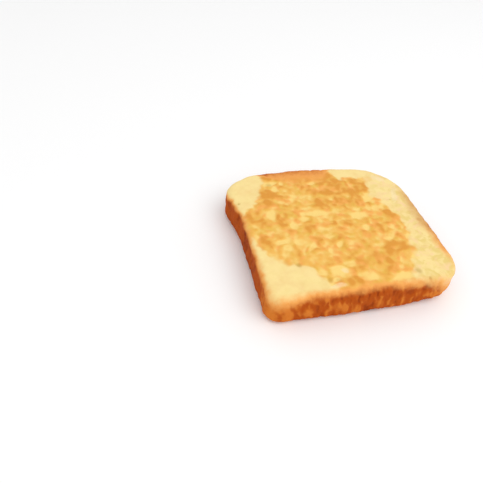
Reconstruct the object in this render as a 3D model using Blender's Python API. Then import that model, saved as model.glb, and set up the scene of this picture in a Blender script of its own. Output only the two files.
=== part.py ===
"""A slice of french toast: thick sandwich bread, soaked in egg and fried on both faces.

The slice lies on its flat underside. +X runs along the front edge, +Y to the back, where the loaf's
crown rose, and +Z up. The origin is the bottom centre of the bounding box. Sizes are in metres.
"""

import bmesh
import bpy
import numpy as np
from mathutils import Vector, noise

COLLECTION = "french_toast"
NODE = "toast_slice"

# The slice from above. Corners and sides are listed anticlockwise: the corners from the front left one,
# and the sides front, right, back and left.
FRONT_WIDTH = 0.105
BACK_WIDTH = 0.1056
LEFT_DEPTH = 0.1013
RIGHT_DEPTH = 0.0983
CORNER_RADII = (0.0083, 0.0159, 0.0273, 0.0195)
SIDE_BOWS = (0.0008, 0.0, 0.0014, 0.0)

# The crown's flare: how far the slice widens at the back on its right and on its left, and where, on
# the way to the back, that starts and ends.
CROWN_FLARES = (0.0006, 0.005)
FLARE_START = 0.004
FLARE_END = 0.042
FLARE_POWER = 6.0  # the higher it is, the less of the back edge the flare takes along

# The slice from the side.
THICKNESS = 0.0191
RIM_RADIUS = 0.0035
FOOT_RADIUS = 0.0036
CORNER_FOOT_RADII = (0.0036, 0.0066, 0.0042, 0.0042)
CORNER_DROPS = (0.0006, 0.0009, 0.0005, 0.0006)  # how much lower the top is at each corner
DROP_START = 0.6  # where a corner starts to drop, as a share of the way from the middle

# Folds in the crust, which run from face to face and are deepest where the loaf touched its tin.
FOLD_DEPTHS = (0.00045, 0.00025, 0.00045, 0.0002)
FOLD_SPACING = 0.0055
FOLD_LEAN = 0.3  # how far a fold moves along the wall for each metre that it climbs

# The fried face: a plateau where the bread lay on the pan, pitted by the open crumb, inside a soft margin.
PAN_CENTRE = (-0.0065, 0.001)
PAN_HALF_SIZE = (0.039, 0.046)
PAN_POWER = 3.0  # 2 is an ellipse, and more is squarer
PAN_EDGE = 0.08  # how wide its edge is, as a share of its half size
PAN_RAGGEDNESS = 0.15
PAN_RAG_LENGTH = 0.015
PAN_RISE = 0.0003
PIT_DEPTH = 0.0009
PIT_LENGTH = 0.0075
DIMPLE_DEPTH = 0.0003
DIMPLE_LENGTH = 0.016
RELIEF_END = 0.9  # where the relief starts to run out, as a share of the way from the middle

# How finely the surface is cut.
FACE_CUTS = 52
RIM_ROWS = 3
WALL_ROWS = 5
FOOT_ROWS = 3
OUTLINE_STEPS = 64

CRUST_COLOUR = (0.72, 0.36, 0.11, 1.0)
CRUST_ROUGHNESS = 0.6


def smoothstep(low, high, value):
    """0 up to low, 1 from high on, and an even rise between them."""
    share = np.clip((value - low) / (high - low), 0.0, 1.0)
    return share * share * (3.0 - 2.0 * share)


def noise_at(points, length):
    """Blender's noise, from about -1 to 1, at each row of points, in lumps of about the given length."""
    return np.array([noise.noise(Vector(point)) for point in points / length])


def corner_arc(before, corner, after, radius):
    """Points on the arc that rounds a corner between its two neighbours."""
    to_before = (before - corner) / np.linalg.norm(before - corner)
    to_after = (after - corner) / np.linalg.norm(after - corner)
    half_angle = np.arccos(to_before @ to_after) / 2.0
    inward = (to_before + to_after) / np.linalg.norm(to_before + to_after)
    centre = corner + inward * radius / np.sin(half_angle)
    start = corner + to_before * radius / np.tan(half_angle) - centre
    turn = np.linspace(0.0, np.pi - 2.0 * half_angle, OUTLINE_STEPS)
    angles = np.arctan2(start[1], start[0]) + turn
    return centre + radius * np.stack([np.cos(angles), np.sin(angles)], axis=1)


def bowed_side(start, end, bow):
    """Points between the ends of a side that swells outwards by bow at its middle."""
    share = np.linspace(0.0, 1.0, OUTLINE_STEPS + 2)[1:-1, None]
    along = end - start
    outward = np.array([along[1], -along[0]]) / np.linalg.norm(along)
    return start + share * along + bow * 4.0 * share * (1.0 - share) * outward


def slice_outline():
    """The slice's outline as points, and each point's station. Stations run from 0 to 4 round the
    outline, with the middles of the corners at the whole numbers."""
    corners = np.array([
        (-FRONT_WIDTH / 2, -LEFT_DEPTH / 2),
        (FRONT_WIDTH / 2, -RIGHT_DEPTH / 2),
        (BACK_WIDTH / 2, RIGHT_DEPTH / 2),
        (-BACK_WIDTH / 2, LEFT_DEPTH / 2),
    ])
    arcs = [
        corner_arc(corners[i - 1], corners[i], corners[(i + 1) % 4], CORNER_RADII[i])
        for i in range(4)
    ]
    half = OUTLINE_STEPS // 2
    points, stations = [], []
    for i in range(4):
        arc, following = arcs[i], arcs[(i + 1) % 4]
        side = bowed_side(arc[-1], following[0], SIDE_BOWS[i])
        stretch = np.concatenate([arc[half:], side, following[: half + 1]])
        travelled = np.concatenate([[0.0], np.linalg.norm(np.diff(stretch, axis=0), axis=1).cumsum()])
        points.append(stretch[:-1])
        stations.append(i + travelled[:-1] / travelled[-1])
    return np.concatenate(points), np.concatenate(stations)


def flared(points):
    """The outline's points, widened at the crown, where the dough spread over the edge of its tin."""
    x, y = points.T
    flare = np.where(x > 0, CROWN_FLARES[0], -CROWN_FLARES[1]) * smoothstep(FLARE_START, FLARE_END, y)
    return np.column_stack([x + flare * np.abs(2.0 * x / BACK_WIDTH) ** FLARE_POWER, y])


class Rim:
    """The slice's outline, read at stations."""

    def __init__(self):
        points, self.stations = slice_outline()
        self.points = flared(points)

    def at(self, stations):
        columns = [np.interp(stations, self.stations, column, period=4.0) for column in self.points.T]
        return np.stack(columns, axis=1)

    def inside(self, stations, inset):
        """Points that lie inset from the outline, square to it. An inset below 0 lies outside."""
        along = self.at(stations + 0.01) - self.at(stations - 0.01)
        inward = np.stack([-along[:, 1], along[:, 0]], axis=1)
        inward /= np.linalg.norm(inward, axis=1, keepdims=True)
        return self.at(stations) + np.reshape(inset, (-1, 1)) * inward


def with_corners(along_sides, at_corners, stations):
    """A size that is the same along all the sides and changes to its own value at each corner."""
    nearest = np.round(stations).astype(int)
    nearness = np.cos(np.pi * (stations - nearest)) ** 4
    return along_sides + (np.take(at_corners, nearest % 4) - along_sides) * nearness


def rings_and_stations(square):
    """For points of the square from -1 to 1, the ring each lies on, from 0 at the middle to 1 at the
    edge, and its station on that ring."""
    x, y = square.T
    ring = np.maximum(np.abs(x), np.abs(y))
    front = -y >= np.abs(x)
    right = (x >= np.abs(y)) & ~front
    back = (y >= np.abs(x)) & ~front & ~right
    side = np.select([front, right, back], [0, 1, 2], 3)
    along = np.select([front, right, back], [x, y, -x], -y)
    return ring, side + (along / np.maximum(ring, 1e-9) + 1.0) / 2.0


def face_relief(places):
    """The fried face's height above its plain surface."""
    flat = np.column_stack([places, np.zeros(len(places))])
    reach = np.abs((places - PAN_CENTRE) / PAN_HALF_SIZE) ** PAN_POWER
    reach = reach.sum(axis=1) ** (1.0 / PAN_POWER) + PAN_RAGGEDNESS * noise_at(flat, PAN_RAG_LENGTH)
    fried = 1.0 - smoothstep(1.0 - PAN_EDGE, 1.0 + PAN_EDGE, reach)
    pits = smoothstep(0.0, 0.5, noise_at(flat + FRONT_WIDTH, PIT_LENGTH))
    dimples = noise_at(flat - FRONT_WIDTH, DIMPLE_LENGTH)
    return fried * (PAN_RISE - PIT_DEPTH * pits) + (1.0 - fried) * DIMPLE_DEPTH * dimples


def crust_folds(rim, stations, heights):
    """How far the crust stands out from the plain wall."""
    places = rim.at(stations) + FOLD_LEAN * heights[:, None]
    leaning = np.column_stack([places, np.zeros(len(places))])
    depths = np.interp(stations, np.arange(4) + 0.5, FOLD_DEPTHS, period=4.0)
    return depths * noise_at(leaning, FOLD_SPACING)


def wall_row(row, stations):
    """A row of points down the wall, from row 0 at the top's edge to the last one at the underside: how
    far each lies inside the outline, its height, and the share of the folds that shows there."""
    top = THICKNESS - with_corners(0.0, CORNER_DROPS, stations)
    foot = with_corners(FOOT_RADIUS, CORNER_FOOT_RADII, stations)
    if row <= RIM_ROWS:
        turn = np.pi / 2 * row / RIM_ROWS
        return RIM_RADIUS * (1 - np.sin(turn)), top - RIM_RADIUS * (1 - np.cos(turn)), np.sin(turn)
    row -= RIM_ROWS
    if row <= WALL_ROWS:
        share = row / WALL_ROWS
        return 0.0, (1 - share) * (top - RIM_RADIUS) + share * foot, 1.0
    turn = np.pi / 2 * (row - WALL_ROWS) / FOOT_ROWS
    return foot * (1 - np.cos(turn)), foot * (1 - np.sin(turn)), np.cos(turn)


def place(vertices, places, heights):
    for vertex, (x, y), z in zip(vertices, places, heights):
        vertex.co = (x, y, z)


def add_top(mesh, rim):
    """Spreads a square grid over the slice's top and returns its vertices' stations."""
    bmesh.ops.create_grid(mesh, x_segments=FACE_CUTS, y_segments=FACE_CUTS, size=1.0)
    ring, stations = rings_and_stations(np.array([vertex.co.xy for vertex in mesh.verts]))
    places = rim.inside(stations, RIM_RADIUS) * ring[:, None]
    heights = THICKNESS - with_corners(0.0, CORNER_DROPS, stations) * smoothstep(DROP_START, 1.0, ring)
    heights += face_relief(places) * (1.0 - smoothstep(RELIEF_END, 1.0, ring))
    place(mesh.verts, places, heights)
    return dict(zip(mesh.verts, stations))


def add_wall(mesh, rim, station_of):
    """Draws the top's edge down row by row, and returns the loop of edges at the underside."""
    edges = [edge for edge in mesh.edges if edge.is_boundary]
    for number in range(1, RIM_ROWS + WALL_ROWS + FOOT_ROWS + 1):
        drawn = bmesh.ops.extrude_edge_only(mesh, edges=edges)["geom"]
        edges = [part for part in drawn if isinstance(part, bmesh.types.BMEdge)]
        row = [part for part in drawn if isinstance(part, bmesh.types.BMVert)]
        above = [next(e.other_vert(v) for e in v.link_edges if e.other_vert(v) in station_of) for v in row]
        stations = np.array([station_of[vertex] for vertex in above])
        inset, heights, folded = wall_row(number, stations)
        inset = inset - folded * crust_folds(rim, stations, heights)
        place(row, rim.inside(stations, inset), heights)
        station_of.update(zip(row, stations))
    return edges


def slice_mesh():
    """The closed surface of the slice, over the middle of its bounding box and with its faces out."""
    mesh = bmesh.new()
    rim = Rim()
    foot = add_wall(mesh, rim, add_top(mesh, rim))
    bmesh.ops.edgeloop_fill(mesh, edges=foot)
    bmesh.ops.recalc_face_normals(mesh, faces=mesh.faces)
    spots = np.array([vertex.co for vertex in mesh.verts])
    middle = (spots.min(axis=0) + spots.max(axis=0)) / 2.0
    bmesh.ops.translate(mesh, verts=mesh.verts, vec=(-middle[0], -middle[1], 0.0))
    return mesh


def crust_material():
    material = bpy.data.materials.new("fried_bread")
    material.use_nodes = True
    shader = material.node_tree.nodes["Principled BSDF"]
    shader.inputs["Base Color"].default_value = CRUST_COLOUR
    shader.inputs["Roughness"].default_value = CRUST_ROUGHNESS
    shader.inputs["Metallic"].default_value = 0.0
    return material


def main():
    for left_over in list(bpy.data.objects):
        bpy.data.objects.remove(left_over)
    collection = bpy.data.collections.new(COLLECTION)
    bpy.context.scene.collection.children.link(collection)

    mesh = slice_mesh()
    data = bpy.data.meshes.new(NODE)
    mesh.to_mesh(data)
    mesh.free()
    data.materials.append(crust_material())
    data.shade_smooth()
    collection.objects.link(bpy.data.objects.new(NODE, data))


main()
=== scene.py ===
"""The finish of a slice of french toast: the egg-coated faces with the patch that the pan browned,
the pools of pale egg in it, and the dark folded crust round the side."""

from math import pi, radians, sin

import bmesh
import bpy
import numpy as np
from mathutils import Matrix, Vector, noise


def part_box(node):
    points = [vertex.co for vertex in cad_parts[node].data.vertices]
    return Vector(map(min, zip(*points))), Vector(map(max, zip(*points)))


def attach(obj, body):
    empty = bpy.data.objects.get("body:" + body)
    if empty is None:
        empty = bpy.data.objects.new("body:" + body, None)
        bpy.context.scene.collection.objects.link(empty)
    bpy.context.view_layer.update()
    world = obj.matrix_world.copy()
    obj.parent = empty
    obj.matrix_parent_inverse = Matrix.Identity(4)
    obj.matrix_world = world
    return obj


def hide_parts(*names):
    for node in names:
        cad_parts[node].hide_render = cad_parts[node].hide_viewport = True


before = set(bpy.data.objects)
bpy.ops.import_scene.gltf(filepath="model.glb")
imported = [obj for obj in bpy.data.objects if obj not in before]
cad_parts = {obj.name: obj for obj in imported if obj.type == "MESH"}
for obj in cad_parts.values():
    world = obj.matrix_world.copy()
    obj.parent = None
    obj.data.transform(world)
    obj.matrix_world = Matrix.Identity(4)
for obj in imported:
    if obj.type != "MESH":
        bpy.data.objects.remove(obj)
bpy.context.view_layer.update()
SLICE_LOW, SLICE_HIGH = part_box("toast_slice")

MM = 0.001

# The camera looks down on the slice from the front left.
CAMERA_AIM = Vector((-52.25, -0.2, 10.0)) * MM
CAMERA_DISTANCE = 247.9 * MM
CAMERA_AZIMUTH = radians(-15.9)
CAMERA_ELEVATION = radians(43.17)
CAMERA_ROLL = radians(5.5)
CAMERA_SENSOR = 36
CAMERA_LENS = 33.97
CAMERA_NEAR = 0.01

# The slice's outline, which is fitted to the frame's box less CRUST_STAND, the room for the crust's
# folds. Corners run anticlockwise from the front left one. Sides run front, right, back and left.
CRUST_STAND = 0.4 * MM
FRONT_WIDTH = 105.0 * MM
BACK_WIDTH = 105.6 * MM
LEFT_DEPTH = 101.3 * MM
RIGHT_DEPTH = 98.3 * MM
CORNER_RADII = np.array((8.3, 15.9, 27.3, 19.5)) * MM
SIDE_BOWS = np.array((0.8, 0.0, 1.4, 0.0)) * MM
CROWN_FLARES = np.array((0.6, 5.0)) * MM  # how far the back widens, on its right and on its left
FLARE_START = 4.0 * MM
FLARE_END = 42.0 * MM
FLARE_POWER = 6.0
OUTLINE_STEPS = 64
STATION_STEP = 0.01  # how far to each side the outline's direction is measured
CORNER_NARROWNESS = 4

# Its section.
PLATEAU_STEP = 0.35 * MM
TOP_HEIGHT = SLICE_HIGH.z - PLATEAU_STEP
BOTTOM_HEIGHT = SLICE_LOW.z + PLATEAU_STEP
RIM_RADIUS = 3.5 * MM
FOOT_RADIUS = 3.6 * MM
CORNER_FOOT_RADII = np.array((3.6, 6.6, 4.2, 4.2)) * MM
CORNER_DROPS = np.array((0.6, 0.9, 0.5, 0.6)) * MM
DROP_START = 0.6
RIM_SHARE = 0.24  # the share of the wall's rows that its rounded rim takes, and its foot too

# How many cells the mesh has along each side, and down its walls.
FACE_CELLS = 190
WALL_CELLS = 28

# Each seed's noise is read at a place of its own. Below, noise is given in layers, each of them as
# (share, or height in mm, length of its lumps in mm, seed).
SEED_SHIFT = np.array((7.31, 3.77, 5.13))

# What is placed on the faces is measured in mm from the slice's plain middle, and wanders a little.
WANDER = ((1.2, 6, 3), (1.2, 6, 4))
ELLIPSE_EDGE = (0.45, 1.35)
SPECK_CORE = 0.2

# The patch that lay on the pan: its reach from its centre, every 15 degrees anticlockwise from +X.
PATCH_CENTRE = np.array((-7.0, 0.0)) * MM
PATCH_REACH = np.array((
    44, 42, 39, 53, 43, 54, 54, 54, 51, 43, 40, 47,
    48, 44, 44, 41, 38, 48, 53, 54, 54, 51, 46, 44,
)) * MM
PATCH_SOFTNESS = 1.5 * MM
PATCH_RAGS = ((2.0, 7, 1), (2.2, 3, 2))

# The crumb's short strokes of brown, as (turn, lengths of its lumps), and the noise under them.
FLECK_STROKES = ((-62, (5.0, 3.0, 4.0)), (-8, (4.3, 3.4, 4.0)))
FLECK_WANDER = 1.3
FLECK_WANDER_LENGTH = 4.5
FLECK_ZONE_LENGTH = 9
FLECK_ZONE_EDGE = (-0.15, 0.15)
FLECK_SHARE = 0.5
FLECK_SEED = 40
MOTTLING = ((0.26, 2.6, 46), (0.48, 9, 47))

# Pools of pale egg and dark toasted spots on the top, as (x, y, half length, half width, turn).
EGG_POOLS = (
    (-11, 7.5, 11, 2.6, 0), (-26, -1, 2.4, 4.0, 0), (26, 8, 4.5, 3.0, 0), (26, 18, 6.0, 2.6, 30),
    (-12, -36, 5.5, 3.2, 0), (0, -42, 6.0, 3.6, -10), (-36, -13, 5.0, 2.0, 0),
    (-36, 8, 2.6, 5.0, 15), (-28, 32.5, 4.0, 2.0, 70), (-22, 37, 1.5, 3.0, -15),
    (-16.5, -42, 2.6, 1.6, 0), (-34, -17, 3.2, 2.2, 0), (-4, 35, 3.0, 1.6, 0), (14, 3, 4.5, 3.0, 0),
    (19, -44, 7.0, 2.6, 0), (-28, 38, 5.0, 2.0, 10), (-23, -36, 3.5, 2.4, 0),
    (13.5, -7, 4.0, 2.4, 30), (-6, -32, 4.5, 2.4, 0), (26, -15, 4.0, 2.4, 50),
    (-5.5, -17.5, 3.6, 1.9, 60), (21.5, 9, 3.2, 1.9, 75), (-18, 3.5, 3.6, 2.4, 0),
    (-21, -18.5, 3.6, 1.5, 55),
)
TOASTED_SPOTS = (
    (12, 29, 19, 8, 0), (-34, 25, 5, 7, 0), (17, 17.5, 5.6, 3.8, 50), (-7, 16, 5, 4, 0),
    (33, 2, 4.5, 4.0, -40), (4, -3, 4.5, 3.0, 0), (-17, -4, 4, 3, 0), (15, -36, 3.5, 6.0, -15),
    (24, -25, 8, 5, 0), (-45, 7, 4, 5, 0), (-44, -10, 3.5, 6.0, 20), (-8, -44, 7, 3, 0),
    (-12, 43, 23, 3.5, 0), (-31, 4, 1.8, 5.0, 10), (-24, 22.5, 4.8, 3.4, 70),
    (-18, -26, 3.2, 2.8, 0), (-48.5, -3, 2.6, 5.0, 0), (32, -10, 3.0, 2.4, 0),
    (-6, -3.5, 4.0, 2.0, 10), (-14, 34, 3.0, 2.0, 70), (16, 12.5, 3.2, 2.2, 60),
    (20, 33, 4.8, 3.2, 50), (-11, 39, 4.6, 2.8, 40), (6.5, 3, 3.2, 2.6, 0),
    (-3.5, 39, 4.8, 2.8, 40), (4, 15.5, 4.0, 2.2, 70), (-25, 17, 3.2, 2.6, 0),
)
POOL_SHARE = 0.5
TOASTED_SHARE = 0.38
# Streaks of white of egg on the margin.
EGG_WHITES = (
    (43, 18.5, 8.5, 2.4, 66), (40, 36, 6.0, 2.4, 140), (-17, -46, 5.5, 1.6, 5),
    (-10, -36.5, 2.2, 2.0, 0),
)
# Small open holes and olive specks, as (x, y, radius, how dark).
PINHOLES = (
    (-51.7, 21.6, 1.1, 0.6), (31.4, -47.1, 1.2, 0.8), (27, -42, 2.4, 0.5),
    (-32.8, -29.9, 2.0, 0.5), (-20.1, -41.3, 2.3, 0.4), (-15.4, -42.5, 2.1, 0.25),
    (-30.3, 37.2, 2.4, 0.35), (38, 14, 1.0, 0.3),
)
# The egg's tints grow stronger and the rim's shoulder duller towards the right side.
RIGHTWARD_REACH = (18, 46)
RIGHTWARD_SLANT = 0.15

# Stations run round the slice from 0 to 4, anticlockwise from the front left corner, with each
# corner's middle at a whole number.
# The crust's brown, as (station, where it starts, where it is full), in mm below the top's edge.
BROWN_EDGE = (
    (0.0, -2.5, 17.0), (0.08, -2.9, 12.5), (0.16, -3.3, 9.0), (0.25, -2.8, 7.6), (0.35, -1.9, 7.2),
    (0.46, -2.7, 7.0), (0.57, -3.0, 5.7), (0.68, -3.8, 9.2), (0.79, -2.6, 9.6), (0.88, -3.8, 16.0),
    (0.95, -4.0, 27.0), (1.0, -5.0, 31.0), (1.12, -8.0, 19.0), (1.2, -7.5, 9.5), (1.3, -7.0, 8.5),
    (1.4, -10.0, 9.5), (1.5, -9.5, 10.0), (1.6, -9.5, 11.0), (1.7, -9.0, 13.0), (1.85, -2.0, 13.0),
    (2.0, 5.0, 14.0), (2.34, 3.5, 8.0), (2.42, -20.0, 14.0), (2.76, -20.0, 14.0), (2.81, -7.0, 2.0),
    (2.89, 3.5, 8.5), (3.0, 4.0, 9.0), (3.2, 1.0, 6.8), (3.3, 0.4, 7.4), (3.45, 0.0, 6.6),
    (3.6, 0.0, 8.0), (3.75, 0.0, 7.6), (3.88, -0.8, 8.5), (3.95, -2.5, 11.5),
)
BROWN_RAGS = ((1.2, 3.5, 13), (0.8, 9, 14))
FOOT_EDGE = (-2.5, 1.5)
# Tans and darker spots on the rim, given as the pools are.
RIM_TANS = ((50, 6, 4.6, 15.0, 0), (50, -26, 4.2, 12.0, 0), (32.5, 36.5, 5.0, 3.5, 0))
RIM_TAN_SHARE = 0.17
RIM_SPOTS = ((47.5, -5, 2.8, 3.4, 0),)
RIM_SPOT_SHARE = 0.5
# How dark the crust is, as (station, share): its own baking, and on the left wall, from station 3.1
# on, partly painted shade.
BAKED_AND_SHADED = (
    (0.0, -0.3), (0.12, -0.2), (0.16, -0.1), (0.23, 0.2), (0.33, 0.38), (0.57, 0.38), (0.68, 0.12),
    (0.8, 0.28), (0.95, 0.0), (1.5, 0.35), (2.0, 0.25), (2.5, 0.25), (2.9, 0.35), (3.1, 0.7),
    (3.35, 0.65), (3.6, 0.9), (3.75, 0.7), (3.88, 0.3),
)

# The crust's folds run down its side. How rough they are, as (station, share).
ROUGHNESS = (
    (0.0, 0.5), (0.2, 1.0), (0.85, 1.0), (1.0, 0.5), (1.5, 0.7), (2.5, 0.5), (3.0, 0.4), (3.9, 0.4),
)
FOLD_STRETCH = 0.25
FOLD_LEAN = 0.2
FOLD_WAVES = ((0.7, 3.5, 18),)
FOLDS = ((0.7, 4.2, 15), (0.6, 1.7, 16))
CREASES = ((1.0, 8, 17),)
CREASE_WIDTH = 0.13
CREASE_SHARE = 0.3
# Small open cells lie under the rim, pressed into the wall and painted darker there as painted
# shade.
CELLS = ((1.0, 2.7, 19),)
CELL_EDGE = (0.1, 0.42)
CELLS_START = (2, 5)
CELLS_END = (9, 14)
CELL_SHARE = 0.34

# Heights of the relief.
POOL_DEPTH = 0.7 * MM
HOLE_DEPTH = 0.8 * MM
DIMPLES = ((0.2, 10, 20), (0.1, 3.5, 23))
CRUMB = ((0.16, 1.6, 21),)
PLAIN_CRUMB_SHARE = 0.4
FOLD_DEPTH = 0.6 * MM
FOLD_FOOT = 4 * MM
CRUST_SKIN = 0.15 * MM
WALL_WAVES = ((0.15, 2.0, 22), (0.3, 8, 24), (0.3, 4.2, 25))

# Colours, linear.
EGG_COLOUR = (0.92, 0.725, 0.31, 1)
EGG_WARM_COLOUR = (0.87, 0.625, 0.26, 1)
YOLK_COLOUR = (0.79, 0.59, 0.19, 1)
PEACH_COLOUR = (0.92, 0.64, 0.335, 1)
WHITE_COLOUR = (0.93, 0.77, 0.50, 1)
POOL_COLOUR = (0.92, 0.65, 0.205, 1)
GOLD_COLOUR = (0.85, 0.465, 0.098, 1)
TOASTED_COLOUR = (0.725, 0.31, 0.046, 1)
OCHRE_COLOUR = (0.78, 0.46, 0.078, 1)
BLUSH_COLOUR = (0.90, 0.385, 0.095, 1)
SHOULDER_COLOUR = (0.86, 0.37, 0.09, 1)
RIM_TAN_COLOUR = (0.71, 0.44, 0.16, 1)
CRUST_LIGHT_COLOUR = (0.66, 0.19, 0.022, 1)
CRUST_COLOUR = (0.445, 0.077, 0.004, 1)
CRUST_DARK_COLOUR = (0.25, 0.032, 0.001, 1)
HOLE_COLOUR = (0.42, 0.26, 0.05, 1)
FLOOR_COLOUR = (0.97, 0.97, 0.97, 1)
SKY_COLOUR = (1, 1, 1, 1)

# Grains of the finish, as (size, detail, distortion).
BROAD_GRAIN = (9 * MM, 2.0, 0.0)
FINE_GRAIN = (1.8 * MM, 3.0, 0.6)
DUSTY_GRAIN = (0.7 * MM, 2.0, 0.0)
YOLK_CLOUDS = (5 * MM, 3.0, 0.6)
PEACH_CLOUDS = (7 * MM, 2.0, 1.0)
OCHRE_CLOUDS = (5 * MM, 2.0, 0.0)
BLUSH_CLOUDS = (6 * MM, 1.0, 0.0)

# Where one colour starts to pass into the next, and where it has.
EGG_TO_WARM = (0.35, 0.9)
EGG_TO_YOLK = (0.42, 0.64)
EGG_TO_PEACH = (0.48, 0.66)
GOLD_TO_OCHRE = (0.45, 0.65)
GOLD_TO_BLUSH = (0.5, 0.64)
POOL_TO_GOLD = (0.0, 0.6)
GOLD_TO_TOASTED = (0.5, 1.05)
FACE_TO_WHITE = (0.1, 1.3)
LIGHT_TO_BROWN = (-0.2, 0.45)
BROWN_TO_DARK = (0.5, 1.15)
SHOULDER_TO_TAN = (0.1, 0.35)
FACE_TO_SHOULDER = (0.0, 0.5)
SHOULDER_TO_SIDE = (0.35, 0.95)

# How far each tint goes: everywhere, and how much more towards the right side.
YOLK_TINT = (0.15, 0.75)
PEACH_TINT = (0.1, 0.75)
OCHRE_TINT = 0.8
BLUSH_TINT = 0.65
WHITE_TINT = 0.5

# How much the fine grain breaks up each colour's edge, and the baking, with the painted shade on
# the left wall, darkens the crust.
WARM_GRAIN = 0.3
TOAST_GRAIN = 0.2
CRUST_GRAIN = 1.1
STREAK_GRAIN = 0.4
BAKED_AND_SHADED_SHARE = 0.7

FACE_ROUGHNESS = 0.5
GRAIN_ROUGHNESS = 0.1
CRUST_ROUGHNESS = 0.3
SHEEN = 0.1
BUMP_STRENGTH = 0.5
BUMP_HEIGHT = 0.25 * MM
BUMP_GRAINS = (0.5, 0.3)

# The studio.
FLOOR_HALF_SIZE = 4.0
FLOOR_ROUGHNESS = 0.9
SKY_STRENGTH = 0.835
LAMP_DISTANCE = 1.2
LAMP_AZIMUTH = radians(35)
LAMP_ELEVATION = radians(58)
LAMP_SIZE = 1.2
LAMP_POWER = 5.1


def smoothstep(low, high, value):
    """0 up to low, 1 from high on, and an even rise between them."""
    share = np.clip((value - low) / (high - low), 0.0, 1.0)
    return share * share * (3.0 - 2.0 * share)


def lumps(spots, lengths, seed):
    """Noise from about -1 to 1 at each row of spots, in lumps of the given lengths."""
    return np.array([noise.noise(Vector(spot)) for spot in spots / lengths + seed * SEED_SHIFT])


def layered(spots, layers):
    """The sum of layers of noise."""
    return sum(share * lumps(spots, length * MM, seed) for share, length, seed in layers)


def turned(spots, angle):
    """Spots turned about Z."""
    matrix = np.array(Matrix.Rotation(radians(angle), 3, "Z"))
    return spots @ matrix.T


# The slice's outline


def corner_arc(before, corner, after, radius):
    to_before = (before - corner) / np.linalg.norm(before - corner)
    to_after = (after - corner) / np.linalg.norm(after - corner)
    half_angle = np.arccos(to_before @ to_after) / 2
    inward = (to_before + to_after) / np.linalg.norm(to_before + to_after)
    centre = corner + inward * radius / sin(half_angle)
    start = corner + to_before * radius / np.tan(half_angle) - centre
    angles = np.arctan2(start[1], start[0]) + np.linspace(0, pi - 2 * half_angle, OUTLINE_STEPS)
    return centre + radius * np.stack([np.cos(angles), np.sin(angles)], axis=1)


def bowed_side(start, end, bow):
    share = np.linspace(0, 1, OUTLINE_STEPS + 2)[1:-1, None]
    along = end - start
    outward = np.array([along[1], -along[0]]) / np.linalg.norm(along)
    return start + share * along + bow * 4 * share * (1 - share) * outward


def flared(points):
    """The outline's points, widened at the crown, where the dough spread over its tin's edge."""
    x, y = points.T
    flare = np.where(x > 0, CROWN_FLARES[0], -CROWN_FLARES[1])
    flare = flare * smoothstep(FLARE_START, FLARE_END, y)
    return np.column_stack([x + flare * np.abs(2 * x / BACK_WIDTH) ** FLARE_POWER, y])


class Outline:
    """The slice's outline from above, read at stations. Its plain middle is that of the slice
    without its flare."""

    def __init__(self):
        corners = np.array([
            (-FRONT_WIDTH / 2, -LEFT_DEPTH / 2),
            (FRONT_WIDTH / 2, -RIGHT_DEPTH / 2),
            (BACK_WIDTH / 2, RIGHT_DEPTH / 2),
            (-BACK_WIDTH / 2, LEFT_DEPTH / 2),
        ])
        arcs = [
            corner_arc(corners[i - 1], corners[i], corners[(i + 1) % 4], CORNER_RADII[i])
            for i in range(4)
        ]
        half = OUTLINE_STEPS // 2
        points, stations = [], []
        for i in range(4):
            arc, following = arcs[i], arcs[(i + 1) % 4]
            side = bowed_side(arc[-1], following[0], SIDE_BOWS[i])
            stretch = np.concatenate([arc[half:], side, following[: half + 1]])
            steps = np.linalg.norm(np.diff(stretch, axis=0), axis=1)
            travelled = np.concatenate([[0], steps.cumsum()])
            points.append(stretch[:-1])
            stations.append(i + travelled[:-1] / travelled[-1])
        points = flared(np.concatenate(points))
        low, high = points.min(axis=0), points.max(axis=0)
        self.plain_middle = -(low + high) / 2
        size = np.array((SLICE_HIGH - SLICE_LOW).xy) - 2 * CRUST_STAND
        self.points = (points + self.plain_middle) * size / (high - low)
        self.stations = np.concatenate(stations)

    def at(self, stations):
        x, y = (np.interp(stations, self.stations, given, period=4) for given in self.points.T)
        return np.column_stack([x, y])

    def outward(self, stations):
        along = self.at(stations + STATION_STEP) - self.at(stations - STATION_STEP)
        outward = np.stack([along[:, 1], -along[:, 0]], axis=1)
        return outward / np.linalg.norm(outward, axis=1, keepdims=True)


def with_corners(along_sides, at_corners, stations):
    """A value that is the same along the sides and passes into another at each corner."""
    nearest = np.round(stations).astype(int)
    nearness = np.cos(pi * (stations - nearest)) ** CORNER_NARROWNESS
    return along_sides + (np.take(at_corners, nearest % 4) - along_sides) * nearness


def round_the_side(pairs, stations):
    """A value that is given at some stations and passes evenly from one to the next."""
    places, values = np.array(pairs).T
    return np.interp(stations, places, values, period=4)


# The slice's mesh


def block_mesh():
    """A closed block from -1 to 1 each way, cut finely along its top, bottom and walls."""
    mesh = bmesh.new()
    bmesh.ops.create_cube(mesh, size=2)
    upright = [e for e in mesh.edges if e.verts[0].co.xy == e.verts[1].co.xy]
    bmesh.ops.subdivide_edges(mesh, edges=upright, cuts=WALL_CELLS - 1)
    level = [e for e in mesh.edges if e.verts[0].co.xy != e.verts[1].co.xy]
    bmesh.ops.subdivide_edges(mesh, edges=level, cuts=FACE_CELLS - 1, use_grid_fill=True)
    return mesh


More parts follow.
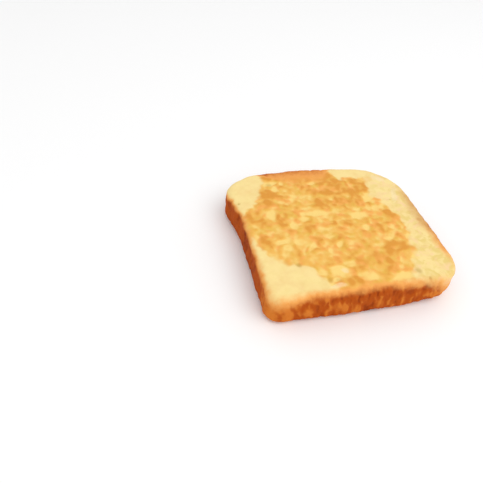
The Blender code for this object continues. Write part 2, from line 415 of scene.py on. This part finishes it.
class Spread:
    """Where each point of the block lies on the plain slice."""

    def __init__(self, block):
        x, y, z = block.T
        self.ring = np.maximum(np.abs(x), np.abs(y))
        front = -y >= np.abs(x)
        right = (x >= np.abs(y)) & ~front
        back = (y >= np.abs(x)) & ~front & ~right
        side = np.select([front, right, back], [0, 1, 2], 3)
        along = np.select([front, right, back], [x, y, -x], -y)
        self.stations = side + (along / np.maximum(self.ring, 1e-9) + 1) / 2

        outline = Outline()
        down = (1 - z) / 2
        rim_turn = pi / 2 * np.clip(down / RIM_SHARE, 0, 1)
        foot_turn = pi / 2 * np.clip((down - 1 + RIM_SHARE) / RIM_SHARE, 0, 1)
        middle = np.clip((down - RIM_SHARE) / (1 - 2 * RIM_SHARE), 0, 1)
        drop = with_corners(0, CORNER_DROPS, self.stations) * smoothstep(DROP_START, 1, self.ring)
        top = TOP_HEIGHT - BOTTOM_HEIGHT - drop
        foot = with_corners(FOOT_RADIUS, CORNER_FOOT_RADII, self.stations)
        inset = RIM_RADIUS * (1 - np.sin(rim_turn)) + foot * (1 - np.cos(foot_turn))
        self.rim = outline.at(self.stations)
        self.out = outline.outward(self.stations)
        self.places = (self.rim - inset[:, None] * self.out) * self.ring[:, None]
        self.heights = (1 - middle) * (top - RIM_RADIUS) + middle * foot
        self.heights += RIM_RADIUS * np.cos(rim_turn) - foot * np.sin(foot_turn) + BOTTOM_HEIGHT
        self.upward = np.cos(rim_turn) - np.sin(foot_turn)
        self.outward = np.sin(rim_turn) * np.cos(foot_turn)
        self.on_top = z > 0

        # How far each point lies below the top's edge and above the foot's, along the surface.
        straight = top - RIM_RADIUS - foot
        inwards = (1 - self.ring) * np.linalg.norm(self.rim, axis=1)
        self.below_top = RIM_RADIUS * rim_turn + middle * straight + foot * foot_turn
        self.above_foot = RIM_RADIUS * (pi / 2 - rim_turn) + (1 - middle) * straight
        self.above_foot += foot * (pi / 2 - foot_turn)
        self.below_top -= np.where(self.on_top, inwards, 0)
        self.above_foot -= np.where(self.on_top, 0, inwards)
        self.spots = np.column_stack([self.places, self.heights])
        self.plan = self.places - outline.plain_middle


def ellipses(places, shapes):
    """1 inside any of the ellipses and 0 outside all, with soft edges."""
    found = np.zeros(len(places))
    for x, y, half_length, half_width, turn in shapes:
        away = np.column_stack([places - np.array((x, y)) * MM, np.zeros(len(places))])
        away = turned(away, -turn)
        reach = np.hypot(away[:, 0] / half_length, away[:, 1] / half_width) / MM
        found = np.maximum(found, 1 - smoothstep(*ELLIPSE_EDGE, reach))
    return found


def patch(spread):
    """1 where the pan browned the faces, and 0 on the pale margin round the patch."""
    from_centre = spread.plan - PATCH_CENTRE
    from_centre[:, 1] *= np.where(spread.on_top, 1, -1)
    angles = np.arctan2(from_centre[:, 1], from_centre[:, 0])
    given = np.linspace(0, 2 * pi, len(PATCH_REACH) + 1)[:-1]
    inside = np.interp(angles, given, PATCH_REACH, period=2 * pi)
    inside -= np.linalg.norm(from_centre, axis=1)
    inside += MM * layered(spread.spots, PATCH_RAGS)
    return smoothstep(-PATCH_SOFTNESS, PATCH_SOFTNESS, inside)


def flecks(spots):
    """Noise in short strokes that lie mostly two ways, as the crumb's open cells do."""
    wander = [lumps(spots, FLECK_WANDER_LENGTH * MM, FLECK_SEED + i) for i in (3, 4, 5)]
    spots = spots + FLECK_WANDER * MM * np.column_stack(wander)
    steep, level = (
        lumps(turned(spots, turn), np.array(lengths) * MM, FLECK_SEED + i)
        for i, (turn, lengths) in enumerate(FLECK_STROKES)
    )
    zones = lumps(spots, FLECK_ZONE_LENGTH * MM, FLECK_SEED + 2)
    share = smoothstep(*FLECK_ZONE_EDGE, zones)
    return share * steep + (1 - share) * level


def specks(places, shapes):
    """How dark the specks are, at each place."""
    found = np.zeros(len(places))
    for x, y, radius, darkness in shapes:
        distance = np.linalg.norm(places / MM - np.array((x, y)), axis=1)
        core = SPECK_CORE * radius
        found = np.maximum(found, darkness * (1 - smoothstep(core, radius, distance)))
    return found


def slice_marks(spread):
    """What the surface shows at each point, each from 0 to 1."""
    top = np.where(spread.on_top, 1.0, 0.0)
    spots, stations = spread.spots, spread.stations
    wandering = spread.plan + MM * np.column_stack([layered(spots, (layer,)) for layer in WANDER])

    pools = top * ellipses(wandering, EGG_POOLS)
    toasted = top * ellipses(wandering, TOASTED_SPOTS)
    mottled = FLECK_SHARE * flecks(spots) + layered(spots, MOTTLING)
    toast = 0.5 + mottled * (1 - POOL_SHARE * pools) + TOASTED_SHARE * toasted - POOL_SHARE * pools

    ragged = MM * layered(spots, BROWN_RAGS)
    start = MM * round_the_side([(station, first) for station, first, last in BROWN_EDGE], stations)
    full = MM * round_the_side([(station, last) for station, first, last in BROWN_EDGE], stations)
    crust = smoothstep(start, full, spread.below_top + ragged)
    crust = np.maximum(crust, RIM_TAN_SHARE * top * ellipses(wandering, RIM_TANS))
    crust = np.maximum(crust, RIM_SPOT_SHARE * top * ellipses(wandering, RIM_SPOTS))
    crust *= smoothstep(*FOOT_EDGE, (spread.above_foot + ragged) / MM)

    crest = np.column_stack([spread.rim, FOLD_STRETCH * spread.heights])
    crest[:, :2] += (FOLD_LEAN * spread.heights + MM * layered(spots, FOLD_WAVES))[:, None]
    rough = round_the_side(ROUGHNESS, stations)
    # Where the folds, creases and cells press the wall in, the crust's colour darkens with them, as
    # painted shade, and it is lighter where the wall stands out.
    folds = 0.5 - rough * layered(crest, FOLDS)
    creases = 1 - smoothstep(0.0, CREASE_WIDTH, np.abs(layered(crest, CREASES)))
    below_top = spread.below_top / MM
    upper = smoothstep(*CELLS_START, below_top) * (1 - smoothstep(*CELLS_END, below_top))
    cells = upper * smoothstep(*CELL_EDGE, layered(crest, CELLS))
    to_right = spread.plan[:, 0] - RIGHTWARD_SLANT * spread.plan[:, 1]
    return {
        "fried": patch(spread),
        "toast": np.clip(toast, 0, 1),
        "crust": crust,
        "baked_and_shaded": round_the_side(BAKED_AND_SHADED, stations),
        "fold": np.clip(folds + rough * (CREASE_SHARE * creases + CELL_SHARE * cells), 0, 1),
        "hole": top * specks(wandering, PINHOLES),
        "white": top * ellipses(wandering, EGG_WHITES),
        "warmth": smoothstep(*RIGHTWARD_REACH, to_right / MM),
    }


def relief(spread, marks):
    """How far each point stands out from the plain slice."""
    spots = spread.spots
    fried, flat = marks["fried"], np.abs(spread.upward)
    face = fried * (PLATEAU_STEP - POOL_DEPTH * (1 - marks["toast"])) - HOLE_DEPTH * marks["hole"]
    face += MM * (1 - fried) * layered(spots, DIMPLES)
    crumb = PLAIN_CRUMB_SHARE + (1 - PLAIN_CRUMB_SHARE) * fried
    face += MM * crumb * layered(spots, CRUMB)
    face = np.minimum(face, PLATEAU_STEP)
    folded = marks["crust"] * smoothstep(0, FOLD_FOOT, spread.above_foot)
    wall = FOLD_DEPTH * (0.5 - marks["fold"]) * folded + CRUST_SKIN
    wall += MM * layered(spots, WALL_WAVES)
    return flat * face + spread.outward * wall


def toast_slice():
    mesh = block_mesh()
    spread = Spread(np.array([vertex.co for vertex in mesh.verts]))
    marks = slice_marks(spread)
    out = relief(spread, marks)
    places = spread.places + (out * spread.outward)[:, None] * spread.out
    heights = spread.heights + out * spread.upward
    for vertex, (x, y), z in zip(mesh.verts, places, heights):
        vertex.co = (x, y, z)
    bmesh.ops.recalc_face_normals(mesh, faces=mesh.faces)
    data = bpy.data.meshes.new("toast")
    mesh.to_mesh(data)
    mesh.free()
    for name, values in marks.items():
        attribute = data.attributes.new(name, "FLOAT", "POINT")
        attribute.data.foreach_set("value", values.astype(np.float32))
    data.shade_smooth()
    data.materials.append(toast_material())
    piece = bpy.data.objects.new("toast", data)
    bpy.context.scene.collection.objects.link(piece)
    return piece


# Materials

# The places of the Mix node's colour sockets, which share their names with its others.
MIX_FACTOR = 0
MIX_FIRST_COLOUR = 6
MIX_SECOND_COLOUR = 7
MIX_COLOUR = 2


class Wire:
    """A node's output. Sums and products of wires and numbers add their Math nodes."""

    def __init__(self, finish, socket):
        self.finish, self.socket = finish, socket

    def maths(self, operation, first, second):
        return self.finish.node("ShaderNodeMath", {"operation": operation}, {0: first, 1: second})

    def __add__(self, other):
        return self.maths("ADD", self, other)

    def __radd__(self, other):
        return self.maths("ADD", other, self)

    def __sub__(self, other):
        return self.maths("SUBTRACT", self, other)

    def __rsub__(self, other):
        return self.maths("SUBTRACT", other, self)

    def __mul__(self, other):
        return self.maths("MULTIPLY", self, other)

    def __rmul__(self, other):
        return self.maths("MULTIPLY", other, self)


class Finish:
    """A material and its nodes."""

    def __init__(self, name):
        self.material = bpy.data.materials.new(name)
        self.material.use_nodes = True
        self.nodes = self.material.node_tree.nodes
        self.links = self.material.node_tree.links
        self.shader = self.nodes["Principled BSDF"]

    def feed(self, socket, value):
        if isinstance(value, Wire):
            self.links.new(value.socket, socket)
        else:
            socket.default_value = value

    def node(self, kind, settings, inputs, output=0):
        made = self.nodes.new(kind)
        for name, value in settings.items():
            setattr(made, name, value)
        for key, value in inputs.items():
            self.feed(made.inputs[key], value)
        return Wire(self, made.outputs[output])

    def mark(self, name):
        return self.node("ShaderNodeAttribute", {"attribute_name": name}, {}, "Fac")

    def between(self, edges, value):
        """0 up to the first edge, 1 from the second on, and an even rise between them."""
        settings = {"interpolation_type": "SMOOTHSTEP"}
        inputs = {"Value": value, "From Min": edges[0], "From Max": edges[1]}
        return self.node("ShaderNodeMapRange", settings, inputs)

    def mix(self, share, first, second):
        inputs = {MIX_FACTOR: share, MIX_FIRST_COLOUR: first, MIX_SECOND_COLOUR: second}
        return self.node("ShaderNodeMix", {"data_type": "RGBA"}, inputs, MIX_COLOUR)

    def grain(self, size, detail, distortion):
        """Noise from 0 to 1 in lumps of the given size."""
        coordinates = self.node("ShaderNodeTexCoord", {}, {}, "Object")
        inputs = {"Vector": coordinates, "Scale": 1 / size, "Detail": detail}
        inputs["Distortion"] = distortion
        return self.node("ShaderNodeTexNoise", {}, inputs, "Fac")

    def use(self, **inputs):
        for name, value in inputs.items():
            self.feed(self.shader.inputs[name.replace("_", " ")], value)
        return self.material


def egg_colour(finish, warmth, fine):
    """The pale egg of the margin, cloudy with yolk."""
    warmed = finish.grain(*BROAD_GRAIN) + WARM_GRAIN * (fine - 0.5)
    egg = finish.mix(finish.between(EGG_TO_WARM, warmed), EGG_COLOUR, EGG_WARM_COLOUR)
    cloudy = finish.between(EGG_TO_YOLK, finish.grain(*YOLK_CLOUDS))
    egg = finish.mix((YOLK_TINT[0] + YOLK_TINT[1] * warmth) * cloudy, egg, YOLK_COLOUR)
    flushed = finish.between(EGG_TO_PEACH, finish.grain(*PEACH_CLOUDS))
    return finish.mix((PEACH_TINT[0] + PEACH_TINT[1] * warmth) * flushed, egg, PEACH_COLOUR)


def fried_colour(finish, toast, fine):
    """The gold of the fried patch, between its pools of egg and its toasted spots."""
    toast = toast + TOAST_GRAIN * (fine - 0.5)
    ochre = finish.between(GOLD_TO_OCHRE, finish.grain(*OCHRE_CLOUDS))
    gold = finish.mix(OCHRE_TINT * ochre, GOLD_COLOUR, OCHRE_COLOUR)
    blush = finish.between(GOLD_TO_BLUSH, finish.grain(*BLUSH_CLOUDS))
    gold = finish.mix(BLUSH_TINT * blush, gold, BLUSH_COLOUR)
    gold = finish.mix(finish.between(POOL_TO_GOLD, toast), POOL_COLOUR, gold)
    return finish.mix(finish.between(GOLD_TO_TOASTED, toast), gold, TOASTED_COLOUR)


def crust_colour(finish, fold, baked_and_shaded, fine):
    # The crust's colour is partly its own streaks and partly painted shade: darker where the folds
    # press the wall in.
    streaked = fold + STREAK_GRAIN * (fine - 0.5) + BAKED_AND_SHADED_SHARE * (baked_and_shaded - 0.5)
    # The darkness given round the side darkens it further; on the left wall that is partly painted
    # shade.
    brown = finish.mix(finish.between(LIGHT_TO_BROWN, streaked), CRUST_LIGHT_COLOUR, CRUST_COLOUR)
    return finish.mix(finish.between(BROWN_TO_DARK, streaked), brown, CRUST_DARK_COLOUR)


def toast_material():
    finish = Finish("egg_fried_bread")
    names = ("fried", "toast", "crust", "baked_and_shaded", "fold", "hole", "white", "warmth")
    fried, toast, crust, baked_and_shaded, fold, hole, white, warmth = (finish.mark(name) for name in names)
    fine, dusty = finish.grain(*FINE_GRAIN), finish.grain(*DUSTY_GRAIN)

    face = finish.mix(fried, egg_colour(finish, warmth, fine), fried_colour(finish, toast, fine))
    whitened = finish.between(FACE_TO_WHITE, white + fine - 0.5)
    face = finish.mix(WHITE_TINT * whitened, face, WHITE_COLOUR)
    face = finish.mix(hole, face, HOLE_COLOUR)

    crust = crust + CRUST_GRAIN * (fine - 0.5) * crust * (1 - crust)
    tan = warmth * finish.between(SHOULDER_TO_TAN, baked_and_shaded)
    shoulder = finish.mix(tan, SHOULDER_COLOUR, RIM_TAN_COLOUR)
    shoulder = finish.mix(finish.between(FACE_TO_SHOULDER, crust), face, shoulder)
    side = crust_colour(finish, fold, baked_and_shaded, fine)
    colour = finish.mix(finish.between(SHOULDER_TO_SIDE, crust), shoulder, side)

    height = BUMP_GRAINS[0] * fine + BUMP_GRAINS[1] * dusty
    inputs = {"Strength": BUMP_STRENGTH, "Distance": BUMP_HEIGHT, "Height": height}
    return finish.use(
        Base_Color=colour,
        Roughness=FACE_ROUGHNESS + GRAIN_ROUGHNESS * fine + CRUST_ROUGHNESS * crust,
        Specular_IOR_Level=SHEEN,
        Normal=finish.node("ShaderNodeBump", {}, inputs, "Normal"),
    )


def floor_material():
    finish = Finish("studio_floor")
    return finish.use(Base_Color=FLOOR_COLOUR, Roughness=FLOOR_ROUGHNESS)


# The studio


def studio():
    data = bpy.data.meshes.new("floor")
    mesh = bmesh.new()
    bmesh.ops.create_grid(mesh, x_segments=1, y_segments=1, size=FLOOR_HALF_SIZE)
    mesh.to_mesh(data)
    mesh.free()
    data.materials.append(floor_material())
    floor = bpy.data.objects.new("floor", data)
    bpy.context.scene.collection.objects.link(floor)

    world = bpy.data.worlds.new("studio")
    bpy.context.scene.world = world
    world.use_nodes = True
    sky = world.node_tree.nodes["Background"]
    sky.inputs["Color"].default_value = SKY_COLOUR
    sky.inputs["Strength"].default_value = SKY_STRENGTH

    lamp = bpy.data.lights.new("key", "AREA")
    lamp.shape = "DISK"
    lamp.size = LAMP_SIZE
    lamp.energy = LAMP_POWER
    key = bpy.data.objects.new("key", lamp)
    key.matrix_world = looking(Vector((0, 0, 0)), LAMP_DISTANCE, LAMP_AZIMUTH, LAMP_ELEVATION, 0)
    bpy.context.scene.collection.objects.link(key)

    scene = bpy.context.scene
    scene.view_settings.view_transform = "Standard"
    scene.view_settings.look = "None"


def looking(aim, distance, azimuth, elevation, roll):
    """The place of something that looks at aim from an azimuth, where 0 looks along +Y."""
    turn = Matrix.Rotation(azimuth, 4, "Z") @ Matrix.Rotation(pi / 2 - elevation, 4, "X")
    turn = turn @ Matrix.Rotation(roll, 4, "Z")
    return Matrix.Translation(aim) @ turn @ Matrix.Translation((0, 0, distance))


def camera():
    data = bpy.data.cameras.new("camera")
    data.lens = CAMERA_LENS
    data.sensor_width = CAMERA_SENSOR
    data.clip_start = CAMERA_NEAR
    made = bpy.data.objects.new("camera", data)
    made.matrix_world = looking(
        CAMERA_AIM, CAMERA_DISTANCE, CAMERA_AZIMUTH, CAMERA_ELEVATION, CAMERA_ROLL
    )
    bpy.context.scene.collection.objects.link(made)
    bpy.context.scene.camera = made


def main():
    camera()
    studio()
    toast = toast_slice()
    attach(toast, "root")
    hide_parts("toast_slice")


main()
